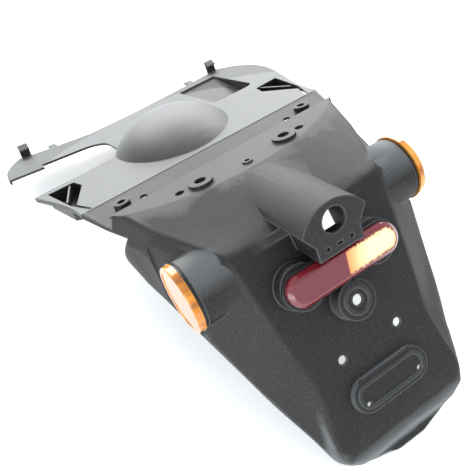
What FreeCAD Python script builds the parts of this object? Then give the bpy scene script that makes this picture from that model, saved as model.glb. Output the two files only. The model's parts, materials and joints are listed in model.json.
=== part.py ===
"""Rear mudguard of a motor scooter, with its side and rear reflectors.

Millimetres. The part is drawn with the tray level (x to the right, y forward, z up, tray top at
z = 0) and is then tipped nose down, so that it rests on the flap's edge and its front tabs.
"""
import FreeCAD, Part
import math
import os

V = FreeCAD.Vector
ALONG_X = V(1, 0, 0)
ALONG_Y = V(0, 1, 0)
ALONG_Z = V(0, 0, 1)
SIDES = (-1, 1)

# Walls of the moulding
wall = 2.5
rib_wall = 2.0
overlap = 1.0
flatness = 1e-5

# Tray
tray_rear_y = 78.0
tray_rear_half = 137.0
tray_waist_y = 144.0
tray_waist_half = 148.0
tray_wide_y = 262.0
tray_wide_half = 171.0
tray_front_y = 326.0
tray_front_half = 145.0
tray_front_dip = 13.0
tray_lip = 5.0

# Wheel dome
dome_half = 64.0
dome_mid_y = 172.0
dome_rear = 85.0
dome_front = 62.0
dome_height = 29.0

# Turned-down front corners, hooks and tabs; the arm ahead of the notch has sprung up
foot_drop = 6.5
arm_raise = 8.0
foot_rear_y = 250.0
foot_inner_x = 128.0
foot_hole_r = 2.0
foot_hole_y = 268.0
foot_hole_z = -3.5
hook_x = 136.0
hook_width = 12.0
hook_height = 16.0
hook_thick = 4.0
hook_nose = 6.0
tab_x = 101.0
tab_width = 9.0
tab_reach = 16.0

# Shock absorber notch on the left and pocket on the right
notch_rear_y = 184.0
notch_front_y = 262.0
notch_inner_x = 53.0
notch_corner = 24.0
notch_step_x = 130.0
notch_step = 13.0
pocket_inner_x = 70.0
pocket_outer_x = 129.0
pocket_rear_y = 191.0
pocket_front_y = 302.0
pocket_drop = 24.0
pocket_corner = 12.0

# Openings beside the tray's rear corners
corner_points = ((147.0, 174.0), (118.0, 172.0), (114.0, 152.0), (133.0, 107.0), (138.0, 112.0))
corner_slot_end = (126.0, 80.0)
corner_slot_width = 3.0
corner_rib_ends = ((122.0, 175.0), (138.0, 128.0))
corner_rib_depth = 9.0

# Band behind the tray and crescent flange
band_rear_y = 33.0
band_drop = 8.0
band_rear_half = 124.0
band_boss_x = 102.4
band_boss_y = 57.0
band_boss_r = 8.0
band_boss_height = 5.0
band_boss_hole_r = 4.0
band_hole_x = 81.8
band_hole_y = 55.0
band_hole_r = 4.0
flange_z = 4.0
flange_radius = 168.0
flange_rear_y = -21.0
flange_boss_x = 44.2
flange_boss_y = 0.0
flange_boss_r = 11.5
flange_boss_height = 3.0
flange_hole_r = 5.4
flange_small_x = 63.8
flange_small_y = 4.0
flange_small_r = 4.3
flange_clip_y = -7.0
flange_clip_r = 5.0
flange_clip_height = 1.5
flange_clip_hole_r = 2.4

# Flap: each section has the half width of its top, then shoulder and edge as (half width, depth)
fold_y = -83.6
fold_z = -23.5
fold_half = 73.8
fold_shoulder = (86.0, 7.0)
fold_edge = (115.0, 74.0)
fold_edge_lean = -47.4
fold_reach = 8.0
brow_z = -42.0
brow_half = 72.5
brow_shoulder = (81.0, 10.0)
brow_edge = (113.0, 46.0)
brow_edge_lean = -32.3
middle_z = -96.6
middle_half = 66.0
middle_shoulder = (73.7, 6.2)
middle_edge = (105.0, 31.0)
lower_z = -145.0
lower_half = 58.0
lower_shoulder = (64.6, 4.3)
lower_edge = (91.0, 21.5)
side_bulge = 7.0
crease_round = 6.0
plate_lean = 19.0
plate_bottom_z = -225.0
crown = 27.0
crease_front_half = 126.9
crease_front_z = 20.5
shoulder_front_half = 138.0
shoulder_front_z = -8.0
skirt_front_half = 120.0
skirt_front_z = -52.0
skirt_front_y = 12.0
skirt_toe_y = 46.0
skirt_edge = 5.0
bottom_half = 73.0
bottom_corner = 30.0
bottom_bow = 10.0
bottom_rim = 13.0
bottom_round = 12.0
rim_slope = 7.0
bottom_turns = (0, 25, 50, 75)
bow_shares = (0.62, 0.25)
bulge_shares = (0.3, 0.6)

# Stalks and round side reflectors
stalk_y = -59.0
stalk_z = -48.0
stalk_r = 29.0
stalk_end_x = 107.0
side_base_r = 28.0
side_base_thick = 3.0
side_lens_r = 30.0
side_lens_thick = 6.5
side_lens_edge = 1.2
side_lens_gap = 0.8

# Lamp hood
hood_end_y = -121.0
hood_root_y = -24.0
hood_half = 30.0
hood_side_z = -20.0
hood_top_z = -2.5
hood_neck_half = 21.0
hood_neck_z = -33.0
hood_foot_z = -46.0
hood_rise = 6.5
lamp_hole_r = 10.5
lamp_hole_z = -18.6
lamp_screw_x = 11.3
lamp_screw_z = -39.0
lamp_screw_r = 1.8
lamp_slot_width = 5.0
lamp_slot_height = 2.2

# Rear reflector on its pads
red_z = -67.0
red_length = 110.0
red_height = 30.0
red_base_thick = 3.0
red_lens_thick = 8.0
red_lens_inset = 2.0
red_stud_x = 36.0
pad_r = 19.0
pad_height = 13.0

# Plate bosses and holes
round_boss_z = -98.0
round_boss_r = 17.0
round_boss_height = 13.0
round_boss_hole_r = 4.5
round_boss_rim_r = 12.0
boss_rim_wall = 2.5
boss_rim_raise = 1.2
plate_hole_x = 29.1
plate_hole_z = -136.5
plate_hole_r = 3.8
long_boss_z = -171.0
long_boss_length = 76.0
long_boss_height = 30.0
long_boss_raise = 4.5
long_boss_hole_z = -177.0
long_boss_hole_x = 27.2
long_boss_hole_r = 2.2
long_boss_rim_inset = 4.0

# Studs and nuts of the reflectors
stud_r = 2.5
stud_clearance = 0.3
stud_out = 12.0
nut_flats = 8.0
nut_height = 4.0

plate_tilt = math.radians(plate_lean)
plate_down = V(0, -math.sin(plate_tilt), -math.cos(plate_tilt))
plate_out = V(0, -math.cos(plate_tilt), math.sin(plate_tilt))


def plate_point(x, z, out=0.0):
    """Point on the flap's plate at width x and height z, raised by out along its normal."""
    along = (fold_z - z) / math.cos(plate_tilt)
    return V(x, fold_y, fold_z) + plate_down * along + plate_out * out


def box(x0, x1, y0, y1, z0, z1):
    return Part.makeBox(x1 - x0, y1 - y0, z1 - z0, V(x0, y0, z0))


def face_of(points):
    return Part.Face(Part.makePolygon(list(points) + [points[0]]))


def prism(plan, z0, z1):
    """Upright prism over a plan given as (x, y) points."""
    return face_of([V(x, y, z0) for x, y in plan]).extrude(V(0, 0, z1 - z0))


def side_prism(profile, x0, x1):
    """Prism along x over a side profile given as (y, z) points."""
    return face_of([V(x0, y, z) for y, z in profile]).extrude(V(x1 - x0, 0, 0))


def mirrored(shape):
    return shape.mirror(V(0, 0, 0), ALONG_X)


def both_sides(shape):
    return [shape, mirrored(shape)]


def upright_edges(shape, select):
    """Vertical edges whose middle point passes the test."""
    found = []
    for edge in shape.Edges:
        low, high = edge.Vertexes[0].Point, edge.Vertexes[-1].Point
        level = abs(low.x - high.x) < 1e-6 and abs(low.y - high.y) < 1e-6
        if level and select((low + high) * 0.5):
            found.append(edge)
    return found


def tray_outline(inset):
    """Closed plan of the tray: straight rear, bowed sides, round corners, hollowed front edge."""
    right = [V(tray_rear_half - inset, tray_rear_y + inset, 0), V(tray_waist_half - inset, tray_waist_y, 0),
             V(tray_wide_half - inset, tray_wide_y, 0), V(tray_front_half - inset, tray_front_y - inset, 0)]
    left = [V(-p.x, p.y, 0) for p in reversed(right)]
    middle = V(0, tray_front_y - tray_front_dip - inset, 0)
    edges = []
    for row in (right, left):
        curve = Part.BSplineCurve()
        curve.interpolate(row)
        edges.append(curve.toShape())
    edges.insert(1, Part.Arc(right[-1], middle, left[0]).toShape())
    edges.append(Part.makeLine(left[-1], right[0]))
    return Part.Face(Part.Wire(edges))


def tray():
    """Level plate with a lip turned down all round, deeper at the front corners."""
    deep = tray_outline(0).extrude(V(0, 0, -tray_lip))
    core = tray_outline(wall).extrude(V(0, 0, -tray_lip))
    core.translate(V(0, 0, -wall))
    plate = deep.cut(core)
    skirt = tray_outline(0).cut(tray_outline(wall)).extrude(V(0, 0, -foot_drop))
    corner = box(foot_inner_x, tray_wide_half + wall, foot_rear_y, tray_front_y, -foot_drop, 0)
    heel = [e for e in corner.Edges if e.BoundBox.XLength > wall and e.BoundBox.ZMax < -wall]
    corner = corner.makeFillet(foot_drop / 2, heel)
    return plate.multiFuse([skirt.common(c) for c in both_sides(corner)])


def dome_solid(inset):
    """Tyre bulge: two arcs over its length, turned about an axis below the tray, moved in by inset."""
    axis_z = (dome_height ** 2 - dome_half ** 2) / (2 * dome_height)
    top = V(0, dome_mid_y, dome_height - inset)
    low = -wall - inset
    arcs = []
    ends = []
    for reach, way in ((dome_rear, -1), (dome_front, 1)):
        radius = (reach ** 2 + dome_height ** 2) / (2 * dome_height)
        centre = V(0, dome_mid_y, dome_height - radius)
        turn = math.acos((low - centre.z) / (radius - inset))
        points = [centre + V(0, way * math.sin(t), math.cos(t)) * (radius - inset) for t in (turn / 2, turn)]
        arcs.append(Part.Arc(top, *points).toShape())
        ends.append(points[1])
    floor = [V(0, end.y, axis_z) for end in ends]
    sides = [Part.makeLine(ends[1], floor[1]), Part.makeLine(floor[1], floor[0]),
             Part.makeLine(floor[0], ends[0])]
    bulge = Part.Face(Part.Wire(Part.__sortEdges__(arcs + sides))).revolve(floor[0], ALONG_Y, 360)
    return bulge.common(box(-tray_wide_half, tray_wide_half, 0, tray_front_y, low, 2 * dome_height))


def front_edge_y(x):
    """Front edge of the tray at width x, on the arc through its corners and middle."""
    radius = (tray_front_half ** 2 + tray_front_dip ** 2) / (2 * tray_front_dip)
    return tray_front_y - tray_front_dip + radius - math.sqrt(radius ** 2 - x ** 2)


def front_fittings():
    """Hooks and tabs on the front edge."""
    edge = front_edge_y(hook_x)
    root, top = -wall, hook_height
    profile = [(edge - hook_thick, root), (edge, root), (edge, top),
               (edge - hook_thick - hook_nose, top - hook_nose), (edge - hook_thick, top - hook_nose)]
    hook = side_prism(profile, hook_x - hook_width / 2, hook_x + hook_width / 2)
    start = front_edge_y(tab_x) - wall
    tab = box(tab_x - tab_width / 2, tab_x + tab_width / 2, start, start + wall + tab_reach, -wall, 0)
    return both_sides(hook) + both_sides(tab)


def foot_holes():
    """Fixing hole through each turned-down front corner."""
    hole = Part.makeCylinder(foot_hole_r, tray_wide_half - foot_inner_x + wall,
                             V(foot_inner_x, foot_hole_y, foot_hole_z), ALONG_X)
    return both_sides(hole)


def pocket_solid(inset):
    """Recess with a floor that falls to the rear, for the right-hand shock absorber."""
    top = wall if inset else 0.0
    floor = [(pocket_rear_y + inset, top), (pocket_rear_y + inset, inset - pocket_drop),
             (pocket_front_y - inset, inset - 2 * wall), (pocket_front_y - inset, top)]
    block = side_prism(floor, pocket_inner_x + inset, pocket_outer_x - inset)
    corners = upright_edges(block, lambda p: p.y < tray_wide_y)
    return block.makeFillet(pocket_corner - inset, corners)


def notch_cut():
    """Notch open to the left, with round inner corners and a step at the outer end."""
    reach = tray_wide_half + wall
    block = box(-reach, -notch_inner_x, notch_rear_y, notch_front_y, -foot_drop - wall, 2 * dome_height)
    block = block.makeFillet(notch_corner, upright_edges(block, lambda p: p.x > -reach / 2))
    kept = box(-reach, -notch_step_x, notch_front_y - notch_step, notch_front_y + wall,
               -foot_drop - 2 * wall, 3 * dome_height)
    return block.cut(kept)


def with_raised_arm(top):
    """The tray with the arm ahead of its notch bent upward about a line at the notch's inner end."""
    reach = tray_wide_half + wall
    pivot = V(-notch_inner_x, 0, -wall / 2)
    lift = math.degrees(math.atan2(arm_raise, tray_front_half - notch_inner_x))
    room = box(-reach, -notch_inner_x, notch_front_y - notch_step - overlap, tray_front_y + 2 * tab_reach,
               -2 * hook_height, 2 * hook_height)
    mitres = []
    for share in (-0.5, 0.5):
        mitre = room.copy()
        mitre.rotate(pivot, ALONG_Y, share * lift)
        mitres.append(mitre)
    arm = top.common(mitres[0])
    arm.rotate(pivot, ALONG_Y, lift)
    return top.cut(mitres[1]).fuse(arm)


def corner_openings():
    """Openings beside the tray's rear corners, each run out to the rear in a slot."""
    cut = prism(corner_points, -tray_lip, tray_lip)
    mouth = (V(*corner_points[-2], -tray_lip) + V(*corner_points[-1], -tray_lip)) * 0.5
    run = V(*corner_slot_end, -tray_lip) - mouth
    slot = box(-corner_slot_width / 2, corner_slot_width / 2, -corner_slot_width, run.Length,
               0, 2 * tray_lip)
    slot.Placement = FreeCAD.Placement(mouth, FreeCAD.Rotation(ALONG_Y, run))
    return both_sides(cut.fuse(slot))


def corner_ribs():
    """One upright rib across each opening."""
    start, end = (V(x, y, -corner_rib_depth) for x, y in corner_rib_ends)
    rib = box(-rib_wall / 2, rib_wall / 2, 0, (end - start).Length, 0, corner_rib_depth - wall / 2)
    rib.Placement = FreeCAD.Placement(start, FreeCAD.Rotation(ALONG_Y, end - start))
    return both_sides(rib)


def station(origin, lean, half, shoulder, edge, rise=0.0):
    """Section of the flap at origin; lean turns its plane from straight down, in degrees."""
    angle = math.radians(lean)
    return dict(origin=origin, down=V(0, -math.sin(angle), -math.cos(angle)), half=half,
                shoulder=shoulder, edge=edge, rise=rise)


def between(first, second, share, bulge=0.0):
    """Section part of the way from one to another, its creases and shoulders moved out by bulge."""
    def mix(a, b):
        return a + (b - a) * share

    row = dict(origin=mix(first["origin"], second["origin"]), rise=mix(first["rise"], second["rise"]),
               down=mix(first["down"], second["down"]).normalize(),
               half=mix(first["half"], second["half"]) + bulge)
    for name, spread in (("shoulder", bulge), ("edge", 0.0)):
        out, depth = (mix(a, b) for a, b in zip(first[name], second[name]))
        row[name] = (out + spread, depth)
    return row


def fold_rows(front, fold, brow):
    """Three sections that carry the round fold from the upper slope to the plate."""
    slope = (front["origin"] - fold["origin"]).normalize()
    turn = slope.getAngle(plate_down * -1) / 2
    sag = fold_reach / math.cos(turn) - fold_reach
    crest = dict(fold)
    crest["origin"] = fold["origin"] + (slope + plate_down).normalize() * sag
    above = between(fold, front, fold_reach / front["origin"].distanceToPoint(fold["origin"]))
    below = between(fold, brow, fold_reach / brow["origin"].distanceToPoint(fold["origin"]))
    return [above, crest, below]


def flap_stations(end_gap):
    """Cross-sections of the flap from the tray's rear edge over the fold to the bottom rim."""
    cosine = math.cos(plate_tilt)
    inward = plate_lean - 90
    front = station(V(0, tray_rear_y, crease_front_z), 0, crease_front_half,
                    (shoulder_front_half, crease_front_z - shoulder_front_z),
                    (skirt_front_half, crease_front_z - skirt_front_z), crown)
    fold = station(V(0, fold_y, fold_z), fold_edge_lean, fold_half, fold_shoulder, fold_edge)
    brow = station(plate_point(0, brow_z), brow_edge_lean, brow_half, brow_shoulder, brow_edge)
    rows = [front]
    rows += [between(front, fold, share, side_bulge * math.sin(math.pi * share)) for share in bulge_shares]
    rows += fold_rows(front, fold, brow) + [brow]
    rows.append(station(plate_point(0, middle_z), inward, middle_half, middle_shoulder, middle_edge))
    rows.append(station(plate_point(0, lower_z), inward, lower_half, lower_shoulder, lower_edge))

    def rim_row(half, down, sink):
        origin = plate_point(0, plate_bottom_z + (bottom_corner - down) * cosine, -sink)
        return station(origin, inward, half - rim_slope, (half - rim_slope / 2, bottom_rim / 3),
                       (half, bottom_rim))

    for turn in bottom_turns:
        angle = math.radians(turn)
        half = bottom_half - bottom_corner * (1 - math.cos(angle))
        down = bottom_corner * math.sin(angle)
        sink = bottom_round * (1 - math.cos(angle))
        rows.append(rim_row(half, down + (end_gap if turn == bottom_turns[-1] else 0), sink))
    for share in bow_shares:
        rows.append(rim_row(half * share, down + end_gap + bottom_bow * (1 - share ** 2), sink))
    return rows


def inner_corner(before, corner, after, inset):
    """Corner of a polyline moved inward by the wall on both of its sides."""
    first = (corner - before).normalize()
    second = (after - corner).normalize()
    normal_first = V(first.y, -first.x, 0)
    normal_second = V(second.y, -second.x, 0)
    middle = (normal_first + normal_second).normalize()
    return corner + middle * (inset / middle.dot(normal_first))


def round_corner(before, corner, after, radius):
    """Start, middle and end of the arc that rounds a corner of a polyline."""
    first = (before - corner).normalize()
    second = (after - corner).normalize()
    half_angle = first.getAngle(second) / 2
    centre = corner + (first + second).normalize() * (radius / math.sin(half_angle))
    reach = radius / math.tan(half_angle)
    return [corner + first * reach, centre + (corner - centre).normalize() * radius, corner + second * reach]


def section_wire(row, inset, reach):
    """Closed section of the flap: skirt, side band and top, with the open side closed straight."""
    edge, shoulder = (V(*row[name], 0) for name in ("edge", "shoulder"))
    crease = V(row["half"], 0, 0)
    top = V(0, 0, 0)
    if inset:
        tail = (edge - shoulder).normalize()
        far = edge + tail * reach + V(-tail.y, tail.x, 0) * inset
        runs = [[far, inner_corner(edge, shoulder, crease, inset)],
                [inner_corner(shoulder, crease, top, inset)]]
    else:
        runs = [[edge, shoulder], round_corner(shoulder, crease, top, crease_round)]

    def place(p):
        return row["origin"] + V(p.x, 0, 0) + row["down"] * p.y

    def half_section(side):
        pieces = []
        last = None
        for run in runs:
            points = [V(side * q.x, q.y, q.z) for q in map(place, run)]
            if last:
                pieces.append(Part.makeLine(last, points[0]))
            if len(points) == 3:
                pieces.append(Part.Arc(*points).toShape())
            elif len(points) == 2:
                pieces.append(Part.makeLine(*points))
            last = points[-1]
        return pieces, last

    right, right_end = half_section(1)
    left, left_end = half_section(-1)
    foot = V(*(place(runs[0][0])))
    if row["rise"]:
        roof = Part.Arc(right_end, V(0, right_end.y, right_end.z + row["rise"]), left_end).toShape()
    else:
        roof = Part.makeLine(right_end, left_end)
    closing = Part.makeLine(V(-foot.x, foot.y, foot.z), foot)
    return Part.Wire(right + [roof] + left[::-1] + [closing])


def straight_sided(face):
    """True where every edge of the face is as long as its ends are apart."""
    for edge in face.Edges:
        reach = edge.Vertexes[0].Point.distanceToPoint(edge.Vertexes[-1].Point)
        if abs(edge.Length - reach) > flatness:
            return False
    return True


def flat_faced(solid):
    """The solid with true planes for its flat faces and two triangles for each twisted one."""
    faces = []
    for face in solid.Faces:
        corners = [v.Point for v in face.OuterWire.OrderedVertexes]
        if len(corners) != 4 or not straight_sided(face):
            faces.append(face)
            continue
        normal = (corners[1] - corners[0]).cross(corners[2] - corners[0]).normalize()
        if abs(normal.dot(corners[3] - corners[0])) < flatness:
            faces.append(face_of(corners))
        else:
            faces += [face_of(corners[:3]), face_of([corners[0], corners[2], corners[3]])]
    shell = Part.Shell(faces)
    shell.sewShape()
    return Part.Solid(shell)


def flap_solid(inset):
    rows = flap_stations(-inset)
    reach = wall + overlap if inset else 0.0
    return flat_faced(Part.makeLoft([section_wire(row, inset, reach) for row in rows], True, True))


def above_flange():
    """Everything above the flange and the band, to be cut from the flap."""
    profile = [(fold_y, flange_z), (band_rear_y, flange_z), (band_rear_y, -band_drop),
               (tray_rear_y, 0), (tray_rear_y + wall, 0), (tray_rear_y + wall, tray_rear_y),
               (fold_y, tray_rear_y)]
    return side_prism(profile, -tray_wide_half, tray_wide_half)


def skirt_front_cut():
    """Space ahead of the skirts, below the side bands."""
    low = 2 * skirt_front_z
    crease = shoulder_front_z - skirt_edge
    profile = [(skirt_toe_y, low), (skirt_toe_y, skirt_front_z), (skirt_front_y, crease),
               (tray_rear_y, -tray_lip), (tray_rear_y + overlap, -tray_lip), (tray_rear_y + overlap, low)]
    return side_prism(profile, -tray_wide_half, tray_wide_half)


def band_and_flange():
    """Falling band, upright step and crescent flange, as plates of one wall."""
    slab = side_prism([(band_rear_y, -band_drop), (tray_rear_y + wall, 0),
                       (tray_rear_y + wall, -wall), (band_rear_y, -band_drop - wall)],
                      -tray_rear_half, tray_rear_half)
    plan = prism([(-tray_rear_half, tray_rear_y + wall), (tray_rear_half, tray_rear_y + wall),
                  (band_rear_half, band_rear_y), (-band_rear_half, band_rear_y)],
                 -band_drop - 2 * wall, wall)
    centre_y = flange_rear_y + flange_radius
    disc = Part.makeCylinder(flange_radius - wall / 2, wall, V(0, centre_y, flange_z - wall))
    strip = box(-flange_radius, flange_radius, flange_rear_y, band_rear_y, -tray_lip, flange_z)
    crescent = disc.common(strip)
    step_half = math.sqrt(flange_radius ** 2 - (centre_y - band_rear_y) ** 2) - wall
    step = box(-step_half, step_half, band_rear_y - wall, band_rear_y, -band_drop - wall, flange_z)
    return [slab.common(plan), crescent, step]


def band_slope(y):
    return -band_drop * (tray_rear_y - y) / (tray_rear_y - band_rear_y)


def fixing_bosses():
    """Raised seats of the fixing holes on the flange and the band."""
    seats = []
    for side in SIDES:
        seats.append(Part.makeCylinder(flange_boss_r, flange_boss_height + wall,
                                       V(side * flange_boss_x, flange_boss_y, flange_z - wall)))
        base = band_slope(band_boss_y) - wall
        seats.append(Part.makeCylinder(band_boss_r, band_boss_height + wall,
                                       V(side * band_boss_x, band_boss_y, base)))
    seats.append(Part.makeCylinder(flange_clip_r, flange_clip_height + wall,
                                   V(0, flange_clip_y, flange_z - wall)))
    return seats


def fixing_holes():
    deep = band_boss_height + 4 * wall
    holes = [Part.makeCylinder(flange_clip_hole_r, deep, V(0, flange_clip_y, flange_z - 2 * wall))]
    for side in SIDES:
        for x, y, r in ((flange_boss_x, flange_boss_y, flange_hole_r),
                        (flange_small_x, flange_small_y, flange_small_r)):
            holes.append(Part.makeCylinder(r, deep, V(side * x, y, flange_z - 2 * wall)))
        for x, y, r in ((band_boss_x, band_boss_y, band_boss_hole_r),
                        (band_hole_x, band_hole_y, band_hole_r)):
            holes.append(Part.makeCylinder(r, deep, V(side * x, y, band_slope(y) - 2 * wall)))
    return holes


def hood_solid(inset):
    """Lamp hood drawn along its rising crest: round top, drawn-in neck, straight foot."""
    run = hood_root_y - hood_end_y
    start = hood_end_y - hood_rise
    half = hood_half - inset
    neck = hood_neck_half - inset
    rights = [V(half, start, hood_side_z), V(neck, start, hood_neck_z), V(neck, start, hood_foot_z)]
    lefts = [V(-p.x, p.y, p.z) for p in reversed(rights)]
    outline = [Part.Arc(lefts[-1], V(0, start, hood_top_z - inset), rights[0]).toShape()]
    corners = rights + lefts
    outline += [Part.makeLine(a, b) for a, b in zip(corners, corners[1:])]
    sleeve = Part.Face(Part.Wire(outline)).extrude(V(0, run + hood_rise, 0))
    sleeve.rotate(V(0, hood_end_y, hood_side_z), ALONG_X, math.degrees(math.atan2(hood_rise, run)))
    return sleeve.common(box(-hood_half, hood_half, hood_end_y + inset, 0, -stalk_end_x, stalk_end_x))


def hood_holes():
    deep = 3 * wall
    start = hood_end_y - wall
    holes = [Part.makeCylinder(lamp_hole_r, deep, V(0, start, lamp_hole_z), ALONG_Y)]
    for side in SIDES:
        holes.append(Part.makeCylinder(lamp_screw_r, deep, V(side * lamp_screw_x, start, lamp_screw_z),
                                       ALONG_Y))
    holes.append(box(-lamp_slot_width / 2, lamp_slot_width / 2, start, start + deep,
                     lamp_screw_z - lamp_slot_height / 2, lamp_screw_z + lamp_slot_height / 2))
    return holes


def stalk_solid(inset):
    start = fold_half - wall
    stalk = Part.makeCylinder(stalk_r - inset, stalk_end_x - inset - start,
                              V(start, stalk_y, stalk_z), ALONG_X)
    return stalk


def plate_round(x, z, radius, height, sink):
    """Round boss or bore on the flap's plate, from sink below it to height above it."""
    return Part.makeCylinder(radius, height + sink, plate_point(x, z, -sink), plate_out)


def oblong(length, height, thick, z, out):
    """Slab with round ends lying on the flap's plate, its back face raised by out."""
    r = height / 2
    reach = length / 2 - r
    pieces = [Part.makeCylinder(r, thick, plate_point(side * reach, z, out), plate_out)
              for side in SIDES]
    corners = [plate_point(-reach, z, out) - plate_down * r, plate_point(reach, z, out) - plate_down * r,
               plate_point(reach, z, out) + plate_down * r, plate_point(-reach, z, out) + plate_down * r]
    slab = face_of(corners).extrude(plate_out * thick)
    return slab.multiFuse(pieces).removeSplitter()


def plate_bosses():
    pads = [plate_round(side * red_stud_x, red_z, pad_r, pad_height, wall) for side in SIDES]
    boss = plate_round(0, round_boss_z, round_boss_r, round_boss_height, wall)
    long_boss = oblong(long_boss_length, long_boss_height, long_boss_raise + wall, long_boss_z, -wall)
    return pads + [boss, long_boss, round_boss_rim(), long_boss_rim()]


def round_boss_rim():
    """Low ring round the hole of the round boss."""
    outer = plate_round(0, round_boss_z, round_boss_rim_r, round_boss_height + boss_rim_raise, wall)
    return outer.cut(plate_round(0, round_boss_z, round_boss_rim_r - boss_rim_wall,
                                 round_boss_height + boss_rim_raise, 2 * wall))


def long_boss_rim():
    """Low rim that runs round the long boss inside its edge."""
    length = long_boss_length - 2 * long_boss_rim_inset
    height = long_boss_height - 2 * long_boss_rim_inset
    outer = oblong(length, height, overlap + boss_rim_raise, long_boss_z, long_boss_raise - overlap)
    return outer.cut(oblong(length - 2 * boss_rim_wall, height - 2 * boss_rim_wall,
                            overlap + boss_rim_raise, long_boss_z, long_boss_raise - overlap))


def boss_hollows():
    """Cores behind the pads and bosses, so that the moulding keeps an even wall."""
    cores = [plate_round(side * red_stud_x, red_z, pad_r - wall, pad_height - wall, 2 * wall)
             for side in SIDES]
    cores.append(plate_round(0, round_boss_z, round_boss_r - wall, round_boss_height - wall, 2 * wall))
    cores.append(oblong(long_boss_length - 2 * wall, long_boss_height - 2 * wall,
                        long_boss_raise + wall, long_boss_z, -2 * wall))
    return cores


def plate_holes():
    hole = stud_r + stud_clearance
    holes = [plate_round(0, round_boss_z, round_boss_hole_r, 2 * pad_height, pad_height)]
    for side in SIDES:
        holes.append(plate_round(side * red_stud_x, red_z, hole, 2 * pad_height, pad_height))
        holes.append(plate_round(side * plate_hole_x, plate_hole_z, plate_hole_r, pad_height, pad_height))
        holes.append(plate_round(side * long_boss_hole_x, long_boss_hole_z, long_boss_hole_r,
                                 pad_height, pad_height))
    return holes


def stalk_holes():
    hole = stud_r + stud_clearance
    bore = Part.makeCylinder(hole, 4 * wall, V(stalk_end_x - 3 * wall, stalk_y, stalk_z), ALONG_X)
    return both_sides(bore)


def lens_clearances():
    """Room for the round lenses where the wings come out below them."""
    room = Part.makeCylinder(side_lens_r + side_lens_gap, tray_wide_half - stalk_end_x,
                             V(stalk_end_x, stalk_y, stalk_z), ALONG_X)
    return both_sides(room)


def body():
    """The whole mudguard as one moulding."""
    outer = flap_solid(0).multiFuse(both_sides(stalk_solid(0)) + [hood_solid(0)])
    inner = flap_solid(wall).multiFuse(both_sides(stalk_solid(wall)) + [hood_solid(wall)])
    flap = outer.cut(above_flange()).cut(skirt_front_cut()).cut(inner).cut(lens_clearances())
    flap = flap.multiFuse(plate_bosses()).cut(boss_hollows())
    top = tray().multiFuse(front_fittings() + [dome_solid(0), pocket_solid(0)])
    top = top.cut([dome_solid(wall), pocket_solid(wall), notch_cut()])
    top = with_raised_arm(top.cut(corner_openings() + foot_holes())).multiFuse(corner_ribs())
    whole = flap.multiFuse([top] + band_and_flange() + fixing_bosses())
    holes = fixing_holes() + hood_holes() + plate_holes() + stalk_holes()
    return whole.cut(holes).removeSplitter()


def side_base():
    """Black carrier disc of a side reflector."""
    return Part.makeCylinder(side_base_r, side_base_thick, V(stalk_end_x, stalk_y, stalk_z), ALONG_X)


def side_lens():
    """Round amber lens with a broken front edge."""
    disc = Part.makeCylinder(side_lens_r, side_lens_thick,
                             V(stalk_end_x + side_base_thick, stalk_y, stalk_z), ALONG_X)
    rim = [e for e in disc.Edges if e.BoundBox.XMin > stalk_end_x + side_base_thick + overlap]
    return disc.makeChamfer(side_lens_edge, rim)


def red_base():
    return oblong(red_length, red_height, red_base_thick, red_z, pad_height)


def red_lens():
    return oblong(red_length - 2 * red_lens_inset, red_height - 2 * red_lens_inset, red_lens_thick,
                  red_z, pad_height + red_base_thick)


def stud(point, outward):
    """Stud whose head end sits in the carrier and whose tail stands out behind the wall."""
    return Part.makeCylinder(stud_r, stud_out, point - outward * stud_out, outward)


def nut(point, outward):
    """Hexagon nut seated on the inner face of the wall."""
    radius = nut_flats / math.sqrt(3)
    corners = []
    for turn in range(6):
        angle = math.radians(60 * turn)
        corners.append(V(radius * math.cos(angle), radius * math.sin(angle), 0))
    block = face_of(corners).extrude(V(0, 0, nut_height))
    bore = Part.makeCylinder(stud_r, nut_height)
    block = block.cut(bore)
    block.Placement = FreeCAD.Placement(point - outward * nut_height,
                                        FreeCAD.Rotation(ALONG_Z, outward))
    return block


def fixings():
    """Seat points of the four reflector studs: carrier back face and outward direction."""
    seats = [(V(side * stalk_end_x, stalk_y, stalk_z), V(side, 0, 0)) for side in SIDES]
    seats += [(plate_point(side * red_stud_x, red_z, pad_height), plate_out) for side in SIDES]
    return seats


def nodes():
    seats = fixings()
    return {
        "mudguard_body": body(),
        "side_base_right": side_base(),
        "side_base_left": mirrored(side_base()),
        "side_lens_right": side_lens(),
        "side_lens_left": mirrored(side_lens()),
        "red_base": red_base(),
        "red_lens": red_lens(),
        "reflector_studs": Part.makeCompound([stud(p, d) for p, d in seats]),
        "reflector_nuts": Part.makeCompound([nut(p - d * wall, d) for p, d in seats]),
    }


def rest_placement():
    """Tip the part nose down on to the flap's edge and the front tabs."""
    heel = plate_point(0, plate_bottom_z - bottom_bow * math.cos(plate_tilt), -bottom_round)
    toe = V(0, front_edge_y(tab_x) + tab_reach, -wall)
    tip = math.atan2(toe.z - heel.z, toe.y - heel.y)
    return FreeCAD.Placement(V(0, 0, 0), FreeCAD.Rotation(ALONG_X, -math.degrees(tip)))


def main():
    os.makedirs("parts", exist_ok=True)
    shapes = nodes()
    turn = rest_placement()
    for shape in shapes.values():
        shape.Placement = turn.multiply(shape.Placement)
    frame = shapes["mudguard_body"].optimalBoundingBox()
    move = V(-frame.Center.x, -frame.Center.y, -frame.ZMin)
    for name, shape in shapes.items():
        shape.translate(move)
        shape.exportStep("parts/" + name + ".step")
        print(name, "solids", len(shape.Solids), "valid", shape.isValid(), "volume", round(shape.Volume))


main()
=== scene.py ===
import bpy
import json
import math
import numpy as np
from mathutils import Matrix, Vector

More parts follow.
